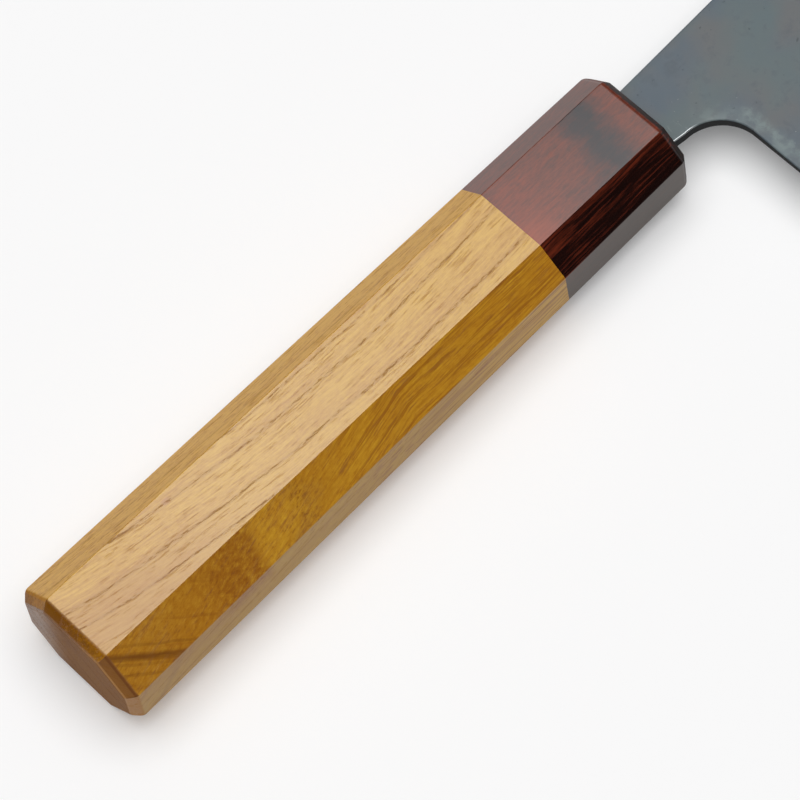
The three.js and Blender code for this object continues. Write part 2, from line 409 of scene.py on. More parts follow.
class Finish:
    """A new material: its graph, and its shader with the sockets that stay the same all over."""

    def __init__(self, name, **constants):
        self.material = bpy.data.materials.new(name)
        self.material.use_nodes = True
        self.graph = Graph(self.material.node_tree)
        self.shader = self.material.node_tree.nodes["Principled BSDF"]
        for socket, value in constants.items():
            self.shader.inputs[socket.replace("_", " ").replace("Ior", "IOR")].default_value = value

    def place(self):
        """Object coordinates in millimetres from the ferrule's front on the line of the tang."""
        spot = self.graph.node("ShaderNodeTexCoord", None, None, "Object")
        sockets = {"Vector": spot, "Location": -zero / MM, "Scale": (1 / MM, 1 / MM, 1 / MM)}
        return self.graph.node("ShaderNodeMapping", None, sockets)

    def facing(self):
        """The parts along X, Y and Z of the direction that mark_facing has kept on the mesh."""
        return self.graph.split(self.attribute("facing", "Vector"))

    def sides(self, sideways):
        """Masks of the sides towards the edge and the spine, and of the upright ones among them."""
        step = self.graph.step
        return step(sideways, -0.3, -0.6), step(sideways, 0.3, 0.6), step(abs(sideways), 0.85, 0.97)

    def attribute(self, name, output="Fac"):
        return self.graph.node("ShaderNodeAttribute", {"attribute_name": name}, None, output)

    def feed(self, **wires):
        for socket, wire in wires.items():
            self.graph.join(wire, self.shader.inputs[socket.replace("_", " ")])

    def bump(self, height, millimetres, strength=1.0):
        """Raises the surface by height times so many millimetres."""
        sockets = {"Height": height, "Distance": millimetres * MM, "Strength": strength}
        self.feed(Normal=self.graph.node("ShaderNodeBump", None, sockets))


# Finishes
def honey_wood(woods):
    """Ring-porous honey wood with bowed growth lines of open pores, under a satin lacquer."""
    finish = Finish("honey_wood_satin", Specular_Ior_Level=0.5, Coat_Roughness=0.22, Coat_Ior=1.6)
    graph = finish.graph
    step, mix, maths, grain = graph.step, graph.mix, graph.maths, graph.grain
    spot = finish.place()
    x, y, z = graph.split(spot)
    end_on, sideways, upright = finish.facing()
    flats = step(abs(upright), 0.8, 0.96)
    edge_side, spine_side, wall = finish.sides(sideways)

    # The growth lines bow towards the spine at both ends of the handle and wander a little.
    middle = -66.4
    along = x - middle
    behind = maths("MINIMUM", along, 0.0)
    ahead = maths("MAXIMUM", along, 0.0)
    bow = behind * behind * 0.0018 + ahead * ahead * 0.0009
    wander = grain(spot, 0.045, 0.09, 3) - 0.5
    across = y - bow + wander * 1.5

    # On the side towards the edge the fibres lean the other way behind the middle.
    turning = -63.0
    lean = maths("MINIMUM", x - turning, 0.0) * 0.16
    flow = graph.combine(x, across + edge_side * (bow - lean), z - edge_side * lean)

    # Rings lie round a pith above the handle, past its edge side. Their gaps vary by threes.
    pith_y, pith_z = -33.3, 30.2
    first_ring = 43.8
    gap = woods.ring_gap / MM
    jitter = (grain(spot, 0.22, 0.5, 2) - 0.5) * 0.4
    aside = across + jitter - pith_y
    beneath = z - pith_z
    radius = maths("SQRT", aside * aside + beneath * beneath)
    even = (first_ring - radius) / gap
    ring = even + maths("SINE", even * (math.tau / 3)) * 0.22
    phase = maths("FRACT", ring)
    nearest = abs(maths("FRACT", ring + 0.5) - 0.5) * gap

    # Fibres are fine and short. Pores are dashes, dark on each growth line and faint behind it.
    fibres = grain(flow, 0.24, 2.8, 3, 0.7)
    threads = grain(flow, 0.07, 2.2, 3, 0.6)
    speckle = grain(flow, 0.9, 1.7, 3, 0.7)
    cloud = grain(spot, 0.035, 0.1, 2)
    fading = grain(flow, 0.16, 0.4, 3)
    shown = 1.0 - step(ring, 3.4, 3.7) * step(ring, 4.6, 4.3)
    line = step(nearest, 0.36, 0.06) * shown
    shade = step(nearest + (fibres - 0.5) * 0.8, 0.55, 0.05) * shown * (1.0 - spine_side * 0.4)
    dashes = grain(flow, 0.8, 3.8, 3, 0.65)
    wide = step(dashes * 1.5 - 0.33 + line * 0.34 + (fading - 0.5) * 0.5, 0.65, 0.9)
    wide = wide * (1.0 - spine_side * 0.5) * (1.0 - edge_side * 0.6)
    behind_line = 1.0 - step(phase, 0.05, 0.7)
    fine = step(fibres + behind_line * 0.06 + (fading - 0.5) * 0.2, 0.56, 0.7)
    fine = fine * (1.0 - edge_side * wall * 0.6)

    # Tone: deeper towards the edge, golden towards the spine, rosier at the butt, and a small knot.
    band = step(phase, 0.35, 0.8) * (1.0 - step(phase, 0.88, 1.0))
    by_joint = step(x, -62.0, -34.0)
    # Partly painted light: the edge side is painted deeper as painted shade and the spine side
    # lighter as painted light; the rest of this tone is the wood's own.
    deep = 0.3 + edge_side * (0.32 - wall * (0.14 + by_joint * 0.26)) - spine_side * 0.2
    deep = deep + band * 0.14 + (cloud - 0.5) * 0.5
    deep = deep + step(x, -94.0, -122.0) * (1.0 - edge_side) * 0.1
    nearer = step(x + wander * 14.0, -92.0, -66.0)
    lively = 1.2 + edge_side * (nearer * 0.2 - 0.3 - wall * 0.4) + spine_side * 1.1
    blotchy = 0.7 + edge_side * (1.0 - nearer - wall * 0.5) + spine_side * 1.1
    deep = deep + (threads - 0.5) * 0.7 + (fibres - 0.5) * lively + (speckle - 0.5) * blotchy
    rosy = step(x, -80.0, -118.0) * step(ring, 1.6, 2.3)
    tone = mix(rosy * 0.8, woods.pale, woods.rosy)
    tone = mix(spine_side * (0.35 + threads * 0.5), tone, woods.gold)
    tone = mix(step(deep, -0.1, 1.1), tone, woods.amber)
    tone = mix(edge_side * wall * (0.66 - by_joint * 0.4), tone, woods.olive)
    knot_x = x + 101.9
    knot_y = y - 5.2
    from_knot = maths("SQRT", knot_x * knot_x * 0.5 + knot_y * knot_y)
    knot = step(from_knot + (speckle - 0.5), 0.9, 0.2) * flats * step(z, 0.0, 5.0)
    tone = mix(knot * 0.4, tone, woods.knot)

    # On the edge's side: streaks nearer the joint, flecks all along and a small cluster of pores.
    figure = grain(flow, 0.05, 2.0, 4, 0.62, 0.25)
    streaks = step(figure + by_joint * 0.03, 0.49, 0.63) * edge_side * nearer
    flecks = step(fibres * 0.5 + speckle * 0.7 - 0.1, 0.53, 0.67) * (1.0 - nearer * 0.7)
    flecks = flecks + step(threads * 0.6 + fibres * 0.5 - 0.05, 0.53, 0.66) * nearer
    flecks = flecks * edge_side * (1.0 - wall * 0.8)
    cluster_x = -86.6
    cluster = step(abs(x - cluster_x + wander * 4.0), 1.9, 0.5) * step(speckle, 0.48, 0.64)
    cluster = cluster * edge_side * step(z, 1.0, 6.0)
    tone = mix(streaks * 0.75, tone, woods.deep)
    tone = mix(cluster * 0.55, tone, woods.end)

    # Slanting layers come out at the butt on that side, behind a deep patch with a ragged front.
    layer_gap = 3.13
    layer = (x + y * 2.81 - z * 0.95 + 158.2) / layer_gap + wander * 1.4
    layers = graph.noise(graph.combine(x * 0.06, layer * 1.5, z * 0.06), detail=3, roughness=0.6)
    ragged = x + (speckle - 0.5) * 4.0 + wander * 6.0
    patch = step(ragged, -95.2, -97.4) * (0.3 + step(ragged, -111.0, -99.2) * 0.55)
    patch = patch * (0.85 + (speckle - 0.5) * 2.6)
    patch = patch + step(layers, 0.5, 0.7) * step(x, -100.0, -108.0) * 0.4
    patch = maths("MAXIMUM", maths("MINIMUM", patch, 1.0), 0.0) * edge_side * step(z, 0.0, 5.0)
    combed = step(maths("SINE", layer * 7.4), 0.2, 0.9) * step(abs(layer + 0.3), 2.6, 0.9)
    stripe = maths("MAXIMUM", step(abs(layer), 0.55, 0.05), combed * 0.45)
    stripe = stripe * edge_side * step(x, -106.0, -114.0) * (1.0 - wall * 0.75)
    tone = mix(patch, tone, woods.deep)
    tone = mix(flecks * 0.3, tone, woods.end)
    tone = mix(stripe * (0.55 + step(layers, 0.4, 0.6) * 0.3), tone, woods.end)

    # Growth lines and pores lie over all of that.
    tone = mix(shade * 0.28, tone, woods.deep)
    tone = mix(wide * 0.44 + fine * 0.2, tone, woods.pore)

    # The bevel round the butt is glossy amber. The end itself is duller, with its grain cut across,
    # and carries painted shade towards the edge side.
    slanted = step(abs(end_on), 0.1, 0.4)
    end_grain = step(abs(end_on), 0.85, 0.95)
    glossy = (slanted - end_grain) * (1.0 - edge_side) * (1.0 - spine_side)
    lighter = speckle + (cloud - 0.5) - y * 0.05 + spine_side * 0.75 + end_grain * 0.4
    blotches = mix(step(lighter, 0.3, 1.0), woods.end, woods.amber)
    under = edge_side * (1.0 - step(upright, 0.35, 0.1) * 0.8)
    tone = mix(slanted * (0.9 + under * 0.1), tone, mix(under, blotches, woods.end))
    # Painted shade: the end grain is darker and rougher towards the edge side, where it faces the
    # handle's shadow on the floor.
    painted_end_shade = step(y, 8.5, 1.5)
    tone = mix(end_grain * (0.3 + threads * 0.4 + painted_end_shade * 0.2), tone, woods.end)
    tone = mix(end_grain * shade * 0.5, tone, woods.pore)
    pores = maths("MAXIMUM", wide * 0.8, fine * 0.5)
    lacquer = 0.8 + step(x, -36.0, -88.0) * 0.2 - step(x, -94.0, -120.0) * 0.2
    finish.feed(
        Base_Color=tone,
        Roughness=0.27 + spine_side * 0.05 + wall * 0.07 + fibres * 0.12 + pores * 0.4
        + end_grain * (0.04 + painted_end_shade * 0.4) - glossy * 0.15
        + (slanted - end_grain) * (under * 0.6 + spine_side * 0.4),
        Coat_Weight=flats * lacquer * (1.0 - pores),
    )
    finish.bump(1.0 - pores * 0.7 + fibres * 0.3, 0.03, 0.5)
    return finish.material


def dark_wood(woods):
    """Polished dark red-brown wood with thin streaks, and a painted dark reflection on its upper
    flat.
    """
    finish = Finish("dark_wood_polished", Specular_Ior_Level=0.5, Coat_Roughness=0.15)
    graph = finish.graph
    step, mix, grain = graph.step, graph.mix, graph.grain
    spot = finish.place()
    x, y, z = graph.split(spot)
    end_on, sideways, upright = finish.facing()
    flats = step(upright, 0.75, 0.96)
    edge_side, spine_side, wall = finish.sides(sideways)
    slanted = step(end_on, 0.25, 0.6)
    sway = grain(spot, 0.05, 0.12, 2) - 0.5
    flow = graph.combine(x, y + sway * 1.4, z + sway * 0.9)

    streaks = grain(flow, 0.07, 1.2, 4, 0.62)
    hairs = grain(flow, 0.05, 2.1, 3, 0.6)
    fibres = grain(flow, 0.7, 2.8, 3, 0.7)
    drift = graph.noise(spot, 0.2, 4, 0.6) - 0.5
    pores = step(fibres, 0.62, 0.76)

    # The upper flat is red, most at the joint. Towards the edge, thin streaks end in near-black.
    by_joint = step(x, -15.0, -29.0)
    lift = flats * (0.44 + by_joint * 0.1) + spine_side * 0.38
    lift = lift + edge_side * (step(z, 4.0, 9.0) * 0.26 - 0.02 + wall * 0.1 + by_joint * 0.08)
    reds = (hairs - 0.5) * 1.6 + (streaks - 0.5) * 1.2
    reds = reds + (fibres - 0.5) * (1.0 - edge_side * 0.6) + lift
    tone = mix(step(reds, 0.0, 1.0), woods.ferrule_dark, woods.ferrule_red)
    even = 0.46 + (fibres - 0.5) * 2.0 + (hairs - 0.5) * 1.0 + drift * 0.9
    even = even + by_joint * 0.24 - spine_side * 0.25
    mottled = mix(even, woods.ferrule_dull, woods.ferrule_warm)
    tone = mix((flats + spine_side) * 0.85, tone, mottled)
    tone = mix(edge_side * wall * 0.7, tone, woods.ferrule_side)
    glow = step(x + drift * 9.0, -22.5, -29.0) * step(y + drift * 5.0, 1.0, -5.0) * flats
    tone = mix(glow * (0.3 + hairs * 0.5), tone, woods.ferrule_glow)

    # A painted dark reflection, a bluish cloud, crosses the upper flat near the front, with a tail
    # along its edge-side corner.
    cloud = step(abs(x + 9.3 - y * 0.12 + drift * 9.0), 6.2, 0.2)
    tail = step(x, -22.0, -13.0) * step(x, -4.5, -7.5) * step(y + drift * 5.0, -3.0, -6.5)
    dark_reflection = graph.maths("MAXIMUM", cloud, tail * 0.65) * flats
    # The painted dark reflection is laid over the flat's own colour here.
    tone = mix(dark_reflection * 0.88, tone, woods.ferrule_reflection)
    tone = mix(pores * 0.35, tone, woods.ferrule_dark)
    finish.feed(
        Base_Color=tone,
        Roughness=0.14 + spine_side * 0.14 + wall * 0.24 + hairs * 0.06 + pores * 0.08
        + slanted * 0.4,
        Coat_Weight=flats * 0.13,
    )
    finish.bump(1.0 - pores * 0.5 + hairs * 0.3 + fibres * 0.3, 0.02, 0.4)
    return finish.material


def bare_wood(woods):
    """Plain pale wood of the dowel."""
    finish = Finish("dowel_wood_bare", Specular_Ior_Level=0.3)
    graph = finish.graph
    spot = finish.place()
    fibres = graph.grain(spot, 0.06, 3.5, 3, 0.6)
    finish.feed(
        Base_Color=graph.mix(graph.step(fibres, 0.3, 0.7), woods.dowel, shaded(woods.dowel, 0.72)),
        Roughness=0.6 + fibres * 0.2,
    )
    finish.bump(fibres, 0.03, 0.5)
    return finish.material


def set_resin(metals):
    """Dark cast resin with faint flow and small bubbles."""
    finish = Finish("bedding_resin", Specular_Ior_Level=0.4)
    graph = finish.graph
    spot = finish.place()
    flow = graph.noise(spot, 0.4, 3, 0.5, 0.6)
    bubbles = graph.step(graph.noise(spot, 2.6, 1), 0.68, 0.76)
    finish.feed(
        Base_Color=graph.mix(graph.step(flow, 0.3, 0.7), metals.resin, shaded(metals.resin, 1.7)),
        Roughness=0.42 + flow * 0.2,
    )
    finish.bump(flow - bubbles, 0.04, 0.5)
    return finish.material


def forged_iron(metals):
    """Dark forge scale that is rubbed paler beside the heel, over a satin ground bevel."""
    finish = Finish("forged_iron_scale", Specular_Ior_Level=0.5)
    graph = finish.graph
    step, mix, maths, noise, grain = graph.step, graph.mix, graph.maths, graph.noise, graph.grain
    spot = finish.place()
    x, y, _ = graph.split(spot)
    upright = abs(finish.facing()[2])
    rim = finish.attribute("rim_gap") / MM
    height = finish.attribute("above_bevel") / MM

    clouds = noise(spot, 0.085, 3, 0.55, 0.4)
    tints = grain(spot, 0.06, 0.09, 2)
    mottle = noise(spot, 0.42, 4, 0.62, 0.3)
    grit = noise(spot, 3.4, 3, 0.65)
    pits = step(noise(spot, 1.0, 2, 0.5), 0.7, 0.76)
    flecks = step(noise(spot, 1.9, 1, 0.5), 0.76, 0.8)

    scale = mix(step(clouds, 0.36, 0.64), metals.scale_blue, metals.scale_brown)
    scale = mix(step(tints, 0.45, 0.7) * 0.7, scale, metals.scale_green)
    scale = mix(step(mottle, 0.5, 0.25) * 0.45, scale, shaded(metals.scale_blue, 0.6))

    # The scale is rubbed thin round the choil and along the heel, and scratched beside the ferrule.
    heel_middle = 13.2
    smear = noise(spot, 0.4, 3, 0.55, 0.3)
    uneven = smear - 0.5
    beside_heel = step(rim + uneven * 3.0, 4.4, 0.6) * step(x + uneven * 4.0, 5.5, 9.0)
    rubbed = beside_heel * (0.12 + step(smear, 0.42, 0.64) * 0.5 + flecks * 0.2)
    heel_band = step(abs(x - heel_middle + uneven * 3.0), 1.8, 0.3) * step(y, -9.5, -12.0)
    rubbed = maths("MAXIMUM", rubbed, heel_band * (0.3 + step(mottle, 0.42, 0.6) * 0.6))
    scratches = step(grain(spot, 2.4, 0.6, 2, 0.6), 0.56, 0.7)
    scratches = scratches * step(x, 6.5, 3.0) * step(rim, 4.0, 0.8)
    scale = mix(maths("MAXIMUM", rubbed, scratches * 0.8), scale, metals.scale_pale)
    scale = mix(pits * 0.4, scale, metals.pit)

    # Bare metal shows on the neck's rounded edge, in flecks by the choil and on the ground bevel.
    rounded = step(upright, 0.35, 0.6) * step(upright, 0.99, 0.94) * step(rim, 0.6, 0.4)
    polished = rounded * step(x, 6.5, 4.5)
    scuffs = flecks * step(rim, 9.0, 2.0) * 0.6
    walls = step(upright, 0.6, 0.3)
    scale = mix(walls, scale, metals.wall)
    worn = maths("MAXIMUM", polished, scuffs)
    ripple = (grain(spot, 0.12, 0.5, 2) - 0.5) * 1.6
    ground = step(height + ripple, 0.35, -0.35)
    lines = noise(graph.stretch(spot, 6.0, 0.35, 1.0), 1.0, 3, 0.6)
    satin = mix(lines * 0.5, metals.ground, shaded(metals.ground, 0.6))
    tinted = mix(worn, scale, metals.bare)
    finish.feed(
        Base_Color=mix(ground, tinted, satin),
        Metallic=maths("MAXIMUM", worn, ground * 0.75),
        Roughness=0.42 + (mottle - 0.5) * 0.16 + pits * 0.12 - worn * 0.14
        + walls * (1.0 - worn) * 0.5 + ground * (0.08 + lines * 0.16),
    )
    rough = (grit * 0.5 + mottle - pits * 0.8) * (1.0 - ground)
    finish.bump(rough + lines * ground * 0.25, 0.03, 0.45)
    return finish.material


def ground_steel(metals):
    """Hard core steel: fine lines across the bevel, a bright sharpened strip, scale elsewhere."""
    finish = Finish("core_steel_honed", Specular_Ior_Level=0.5)
    graph = finish.graph
    step, mix = graph.step, graph.mix
    spot = finish.place()
    edge = finish.attribute("edge_gap") / MM
    lines = graph.noise(graph.stretch(spot, 7.0, 0.3, 1.0), 1.0, 3, 0.6)
    cloud = graph.noise(spot, 0.3, 2)
    keen = step(edge, 0.8, 0.6)
    scale = step(edge, 0.9, 1.4) * step(abs(finish.facing()[2]), 0.6, 0.3)
    tint = mix(lines * 0.5 + cloud * 0.3, metals.core, shaded(metals.core, 0.72))
    tint = mix(keen * 0.5, tint, metals.keen)
    finish.feed(
        Base_Color=mix(scale, tint, metals.wall),
        Metallic=(1.0 - scale) * 0.8,
        Roughness=0.46 + lines * 0.12 - keen * 0.16 + scale * 0.4,
    )
    finish.bump(lines * (1.0 - keen * 0.6), 0.008, 0.5)
    return finish.material


def studio_floor(stage):
    """Matt pale floor, part of which is plain white for the rays that show it as background."""
    finish = Finish("studio_floor", Specular_Ior_Level=0.0, Roughness=1.0)
    graph = finish.graph
    finish.feed(Base_Color=stage.floor)
    white = graph.node("ShaderNodeEmission", None, {"Color": WHITE, "Strength": 1.0})
    matt = Wire(graph, finish.shader.outputs["BSDF"])
    sockets = {0: graph.seen() * stage.floor_glow, 1: matt, 2: white}
    floor = graph.node("ShaderNodeMixShader", None, sockets)
    graph.join(floor, finish.material.node_tree.nodes["Material Output"].inputs["Surface"])
    return finish.material


# Making pieces
def new_object(name, mesh):
    made = bpy.data.objects.new(name, mesh)
    bpy.context.scene.collection.objects.link(made)
    return made


def set_inputs(modifier, values):
    """Fills a geometry modifier's inputs by their sockets' identifiers."""
    for item in modifier.node_group.interface.items_tree:
        if item.in_out == "INPUT" and item.name in values:
            modifier[item.identifier] = values[item.name]


def geometry_modifier(piece, tree, values):
    modifier = piece.modifiers.new(tree.name, "NODES")
    modifier.node_group = tree
    set_inputs(modifier, values)


def bake(piece, finish):
    """Turns a piece and its modifiers into one plain mesh that wears one finish."""
    depsgraph = bpy.context.evaluated_depsgraph_get()
    mesh = bpy.data.meshes.new_from_object(piece.evaluated_get(depsgraph), depsgraph=depsgraph)
    piece.modifiers.clear()
    spare = piece.data
    mesh.name = piece.name
    piece.data = mesh
    bpy.data.meshes.remove(spare)
    mesh.materials.clear()
    mesh.materials.append(finish)
    mesh.polygons.foreach_set("material_index", [0] * len(mesh.polygons))
    if not mesh.polygons:
        raise RuntimeError(f"{piece.name} came out empty")
    return piece


def weigh_normals(piece):
    """Keeps the large flats looking flat beside their eased edges."""
    modifier = piece.modifiers.new("flats", "WEIGHTED_NORMAL")
    modifier.mode = "FACE_AREA_WITH_ANGLE"
    modifier.weight = 100
    modifier.keep_sharp = True


def title(name):
    """The name that a setting has among a geometry tree's inputs."""
    return name.replace("_", " ").title()


def octagon_tree():
    """A tapering octagon between two places along X, with a bevel round each end."""
    graph = geometry_graph("octagon_handle")
    ends = ("X", "Height", "Thickness", "Chamfer", "Bevel", "Edge Share")
    graph.declare([f"{side} {size}" for side in ("Start", "End") for size in ends])
    graph.declare(["Start Lean", "Long Edge Share", "Axis Y", "Underside Z"])
    graph.declare(["Material"], "NodeSocketMaterial")
    given = graph.given()

    # Four rings of eight corners. Across and upward say where a corner is, ring says how far along.
    sizes = {"Vertices": 8, "Side Segments": 3, "Radius": 1.0, "Depth": 3.0}
    drum = graph.node("GeometryNodeMeshCylinder", {"fill_type": "NGON"}, sizes)
    half_side = (0, 0, math.pi / 8)
    turned = graph.node("GeometryNodeTransform", None, {"Geometry": drum, "Rotation": half_side})
    across, upward, depth = graph.split(graph.node("GeometryNodeInputPosition"))
    ring = depth + 1.5
    back = ring < 1.5
    front = 1.0 - back
    x = back * (given["Start X"] + given["Start Bevel"] * ring)
    x = x + front * (given["End X"] - given["End Bevel"] * (3.0 - ring))
    inset = back * given["Start Bevel"] * (1.0 - ring) + front * given["End Bevel"] * (ring - 2.0)
    on_side = abs(across) > abs(upward)

    def corner(x):
        """The octagon's corners at a place along X: out along Y, and up from the underside."""
        way = (x - given["Start X"]) / (given["End X"] - given["Start X"])

        def between(size):
            return part_way(given["Start " + size], given["End " + size], way)

        chamfer = between("Chamfer") - inset * (2.0 - math.sqrt(2.0))
        half_thickness = between("Thickness") / 2.0
        out = between("Height") / 2.0 - inset - (1.0 - on_side) * chamfer
        rise = half_thickness - inset - on_side * chamfer
        height = half_thickness + graph.maths("SIGN", upward) * rise
        return graph.maths("SIGN", across) * out, height

    # The start may be cut at a lean, which takes its lower corners further back.
    upright = corner(x)[1]
    x = x - back * given["Start Lean"] * (1.0 - upright / given["Start Thickness"])
    out, height = corner(x)
    y = given["Axis Y"] + out
    z = given["Underside Z"] + height
    position = graph.combine(x, y, z)
    placed = graph.node("GeometryNodeSetPosition", None, {"Geometry": turned, "Position": position})
    merge = {"Geometry": placed, "Distance": TOUCH / 10}
    merged = graph.node("GeometryNodeMergeByDistance", None, merge)

    # Each edge's share of the easing: long edges, and the rings of an end that has a bevel.
    ends_of_edge = graph.node("GeometryNodeInputMeshEdgeVertices", None, None, "Position 1")
    first_x = graph.split(ends_of_edge)[0]
    second_x = graph.split(ends_of_edge.out("Position 2"))[0]
    is_long = abs(first_x - second_x) > MM
    middle = (given["Start X"] + given["End X"]) / 2.0
    at_start = first_x < middle
    start_share = given["Start Edge Share"] * at_start * (given["Start Bevel"] > TOUCH)
    end_share = given["End Edge Share"] * (1.0 - at_start) * (given["End Bevel"] > TOUCH)
    weight = is_long * given["Long Edge Share"] + (1.0 - is_long) * (start_share + end_share)
    weighed = graph.node(
        "GeometryNodeStoreNamedAttribute",
        {"data_type": "FLOAT", "domain": "EDGE"},
        {"Geometry": merged, "Name": "bevel_weight_edge", "Value": weight},
    )
    return graph.close(weighed, given["Material"])


def bores_tree():
    """Cuts the dowel's socket, the tang's channel and the neck's mouth out of a piece."""
    graph = geometry_graph("tang_bores")
    graph.declare(["Geometry"], "NodeSocketGeometry")
    graph.declare(title(name) for name in BoreSettings.__annotations__)
    graph.declare(["Zero X", "Zero Y", "Zero Z"])
    graph.declare(["Material"], "NodeSocketMaterial")
    given = graph.given()

    def placed(mesh, x, y, z):
        position = graph.combine(given["Zero X"] + x, given["Zero Y"] + y, given["Zero Z"] + z)
        return graph.node("GeometryNodeSetPosition", None, {"Geometry": mesh, "Position": position})

    near, side, up = graph.split(graph.node("GeometryNodeInputPosition"))
    sizes = {"Vertices": SOCKET_SIDES, "Radius": 1.0, "Depth": 1.0}
    rod = graph.node("GeometryNodeMeshCylinder", {"fill_type": "NGON"}, sizes)
    rod_x = part_way(given["Socket Start"], given["Socket End"], up + 0.5)
    socket = placed(rod, rod_x, near * given["Socket Radius"], side * given["Socket Radius"])
    block = graph.node("GeometryNodeMeshCube", None, {"Size": (1.0, 1.0, 1.0)})
    way = near + 0.5

    def between(name, size=""):
        return part_way(given[f"{name} Start{size}"], given[f"{name} End{size}"], way)

    channel_y = side * between("Channel", " Height")
    channel_z = up * between("Channel", " Thickness")
    channel = placed(block, between("Channel"), channel_y, channel_z)
    mouth_y = part_way(given["Mouth Low"], given["Mouth High"], side + 0.5)
    mouth = placed(block, between("Mouth"), mouth_y, up * given["Mouth Thickness"])
    cut = graph.node(
        "GeometryNodeMeshBoolean",
        {"operation": "DIFFERENCE", "solver": "EXACT"},
        {"Mesh 1": given["Geometry"], "Mesh 2": [socket, channel, mouth]},
    )
    return graph.close(cut, given["Material"])


def forge_tree():
    """Presses shallow dents into the skin of a forged face, along its normals."""
    graph = geometry_graph("forged_skin")
    graph.declare(["Geometry"], "NodeSocketGeometry")
    graph.declare(["Depth", "Dent Size", "Seed"])
    graph.declare(["Material"], "NodeSocketMaterial")
    given = graph.given()
    named = {"Name": "forge_skin"}
    skin = graph.node("GeometryNodeInputNamedAttribute", {"data_type": "FLOAT"}, named)
    dents = graph.node(
        "ShaderNodeTexNoise",
        {"noise_dimensions": "4D"},
        {"W": given["Seed"], "Scale": 1.0 / given["Dent Size"], "Detail": 2.0, "Roughness": 0.45},
    )
    push = graph.node(
        "ShaderNodeVectorMath",
        {"operation": "SCALE"},
        {0: graph.node("GeometryNodeInputNormal"), "Scale": skin * dents * given["Depth"] * -1.0},
    )
    moved = {"Geometry": given["Geometry"], "Offset": push}
    dented = graph.node("GeometryNodeSetPosition", None, moved)
    return graph.close(dented, given["Material"])


class HandlePiece:
    """What the handle body and the ferrule share: both are lengths of one octagon."""

    def octagon_at(self, handle, x):
        """Height, thickness and chamfer at a place along the handle."""
        way = (zero.x - x) / handle.handle_length
        sizes = {}
        for size in ("height", "thickness", "chamfer"):
            front = getattr(handle, "front_" + size)
            butt = getattr(handle, "butt_" + size)
            sizes[size.title()] = part_way(front, butt, way)
        return sizes

    def make(self, context, name, ends, lean, finish):
        """One length of the octagon. Each end has a place, a bevel and a share of the easing."""
        handle = context.scene.knife_handle
        bores = context.scene.knife_bores
        values = {"Long Edge Share": handle.long_edge, "Axis Y": zero.y, "Underside Z": body_low.z}
        values["Material"] = finish
        values["Start Lean"] = lean
        for side, (x, bevel, edge) in zip(("Start", "End"), ends):
            values[side + " X"] = x
            values[side + " Bevel"] = bevel
            values[side + " Edge Share"] = edge
            for size, metres in self.octagon_at(handle, x).items():
                values[f"{side} {size}"] = metres
        piece = new_object(name, bpy.data.meshes.new(name))
        geometry_modifier(piece, octagon_tree(), values)
        easing = piece.modifiers.new("easing", "BEVEL")
        easing.limit_method = "WEIGHT"
        easing.width = handle.edge_width
        easing.segments = EASING_STEPS
        cut = {title(name): getattr(bores, name) for name in bores.__annotations__}
        cut.update({"Zero X": zero.x, "Zero Y": zero.y, "Zero Z": zero.z, "Material": finish})
        geometry_modifier(piece, bores_tree(), cut)
        bake(piece, finish)
        smooth(piece, PLAIN_CREASE)
        return piece


def smooth(piece, degrees):
    """Smooth shading that stays sharp past an angle, with flats that stay flat."""
    piece.data.polygons.foreach_set("use_smooth", [True] * len(piece.data.polygons))
    piece.data.set_sharp_from_angle(angle=math.radians(degrees))
    weigh_normals(piece)
    bake(piece, piece.data.materials[0])
    mark_facing(piece.data)


def mark_facing(mesh):
    """Keeps the direction of each face's corners on the mesh, for finishes that differ by side."""
    directions = np.zeros(len(mesh.loops) * 3, np.float32)
    mesh.corner_normals.foreach_get("vector", directions)
    layer = mesh.attributes.new("facing", "FLOAT_VECTOR", "CORNER")
    layer.data.foreach_set("vector", directions)


